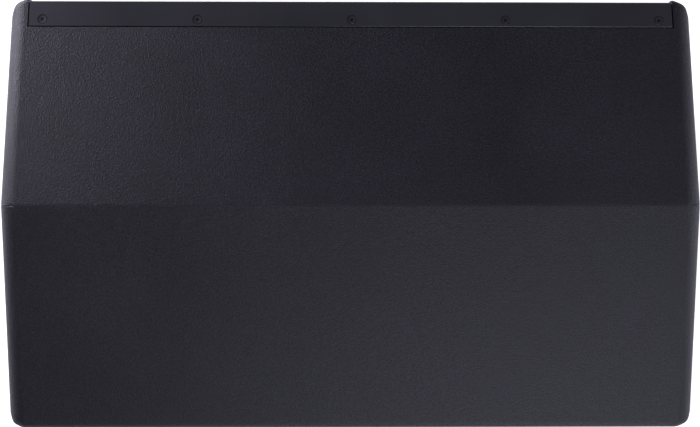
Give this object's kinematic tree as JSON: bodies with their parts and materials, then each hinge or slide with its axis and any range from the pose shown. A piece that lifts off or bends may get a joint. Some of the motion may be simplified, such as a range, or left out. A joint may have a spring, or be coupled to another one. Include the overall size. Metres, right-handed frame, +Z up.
{
  "type": "line array speaker",
  "caption": "Black line array loudspeaker module with a tapered plywood cabinet, perforated steel grille, flush side rigging, folding handles and a recessed powered rear panel.",
  "frame": {"origin": "middle of the footprint, at the height of the floor that the module stands on", "axes": "+X runs along the module's width, -Y is the side that the grille faces, +Z is up"},
  "size_m": [0.6, 0.371, 0.255],
  "materials": {
    "cabinet_paint": "plywood under a fine-textured satin black coating",
    "grille_steel": "satin black powder coat on perforated steel sheet",
    "screw_steel": "black-passivated steel",
    "acoustic_foam": "open-cell black foam",
    "cast_frame": "black-coated die casting",
    "surround_rubber": "soft black rubber",
    "cone_paper": "coated black paper pulp",
    "coil_copper": "enamelled copper winding",
    "spider_cloth": "resin-dipped cotton cloth",
    "motor_steel": "zinc-plated steel",
    "ferrite": "ground ferrite",
    "diaphragm_metal": "thin formed metal dome",
    "black_plastic": "moulded black plastic",
    "rigging_steel": "black powder-coated steel plate",
    "pin_steel": "bright plated steel",
    "rear_panel_steel": "fine-textured black powder coat",
    "heatsink_aluminium": "black anodised extrusion",
    "circuit_board": "glass-fibre circuit board with its parts",
    "socket_metal": "black-plated die-cast socket"
  },
  "bodies": {
    "cabinet": {"top_front_board": "cabinet_paint", "bottom_front_board": "cabinet_paint", "top_rear_board": "cabinet_paint", "bottom_rear_board": "cabinet_paint", "baffle_board": "cabinet_paint", "rear_board": "cabinet_paint", "side_panel_left": "cabinet_paint", "side_panel_right": "cabinet_paint", "grille": "grille_steel", "grille_foam": "acoustic_foam", "grille_screw_1": "screw_steel", "grille_screw_2": "screw_steel", "grille_screw_3": "screw_steel", "grille_screw_4": "screw_steel", "grille_screw_5": "screw_steel", "woofer_basket_left": "cast_frame", "woofer_surround_left": "surround_rubber", "woofer_spider_left": "spider_cloth", "woofer_top_plate_left": "motor_steel", "woofer_magnet_left": "ferrite", "woofer_yoke_left": "motor_steel", "woofer_basket_right": "cast_frame", "woofer_surround_right": "surround_rubber", "woofer_spider_right": "spider_cloth", "woofer_top_plate_right": "motor_steel", "woofer_magnet_right": "ferrite", "woofer_yoke_right": "motor_steel", "waveguide": "black_plastic", "hf_front_plate": "motor_steel", "hf_magnet": "ferrite", "hf_cover": "black_plastic", "port_duct_left": "black_plastic", "port_duct_right": "black_plastic", "rigging_plate_front_left": "rigging_steel", "rigging_plate_rear_left": "rigging_steel", "handle_dish_left": "black_plastic", "rigging_plate_front_right": "rigging_steel", "rigging_plate_rear_right": "rigging_steel", "handle_dish_right": "black_plastic", "rear_panel": "rear_panel_steel", "heatsink": "heatsink_aluminium", "amplifier_board": "circuit_board", "signal_input": "socket_metal", "signal_output": "socket_metal", "mains_inlet": "black_plastic"},
    "woofer_left_cone_body": {"woofer_cone_left": "cone_paper", "woofer_dust_cap_left": "cone_paper", "woofer_voice_coil_left": "coil_copper"},
    "handle_left": {"handle_bail_left": "cast_frame"},
    "pin_front_left": {"rigging_pin_front_left": "pin_steel"},
    "pin_rear_left": {"rigging_pin_rear_left": "pin_steel"},
    "woofer_right_cone_body": {"woofer_cone_right": "cone_paper", "woofer_dust_cap_right": "cone_paper", "woofer_voice_coil_right": "coil_copper"},
    "handle_right": {"handle_bail_right": "cast_frame"},
    "pin_front_right": {"rigging_pin_front_right": "pin_steel"},
    "pin_rear_right": {"rigging_pin_rear_right": "pin_steel"},
    "diaphragm": {"hf_diaphragm": "diaphragm_metal"},
    "knob": {"level_knob": "black_plastic"},
    "rocker": {"power_rocker": "black_plastic"}
  },
  "joints": [
    {"name": "woofer_left_travel", "type": "slide", "parent": "cabinet", "child": "woofer_left_cone_body", "axis": [0, -1, 0], "range_m": [-0.005, 0.005], "stiffness_N_per_m": 2500, "deforming": ["woofer_surround_left", "woofer_spider_left"]},
    {"name": "woofer_right_travel", "type": "slide", "parent": "cabinet", "child": "woofer_right_cone_body", "axis": [0, -1, 0], "range_m": [-0.005, 0.005], "stiffness_N_per_m": 2500, "deforming": ["woofer_surround_right", "woofer_spider_right"]},
    {"name": "hf_diaphragm_travel", "type": "slide", "parent": "cabinet", "child": "diaphragm", "axis": [0, -1, 0], "range_m": [-0.0003, 0.0003], "stiffness_N_per_m": 20000},
    {"name": "handle_left_swing", "type": "hinge", "parent": "cabinet", "child": "handle_left", "pos_m": [-0.291, -0.002, 0.1615], "axis": [0, 1, 0], "range_deg": [0, 90], "stiffness_Nm_per_rad": 0.02},
    {"name": "handle_right_swing", "type": "hinge", "parent": "cabinet", "child": "handle_right", "pos_m": [0.291, -0.002, 0.1615], "axis": [0, -1, 0], "range_deg": [0, 90], "stiffness_Nm_per_rad": 0.02},
    {"name": "rigging_pin_front_left_pull", "type": "slide", "parent": "cabinet", "child": "pin_front_left", "axis": [-1, 0, 0], "range_m": [0, 0.045]},
    {"name": "rigging_pin_rear_left_pull", "type": "slide", "parent": "cabinet", "child": "pin_rear_left", "axis": [-1, 0, 0], "range_m": [0, 0.045]},
    {"name": "rigging_pin_front_right_pull", "type": "slide", "parent": "cabinet", "child": "pin_front_right", "axis": [1, 0, 0], "range_m": [0, 0.045]},
    {"name": "rigging_pin_rear_right_pull", "type": "slide", "parent": "cabinet", "child": "pin_rear_right", "axis": [1, 0, 0], "range_m": [0, 0.045]},
    {"name": "level_knob_turn", "type": "hinge", "parent": "cabinet", "child": "knob", "pos_m": [-0.1385, 0.1708, 0.1275], "axis": [0, 1, 0], "range_deg": [-150, 150]},
    {"name": "power_rocker_rock", "type": "hinge", "parent": "cabinet", "child": "rocker", "pos_m": [0.1385, 0.1608, 0.1275], "axis": [1, 0, 0], "range_deg": [-6, 6]}
  ]
}
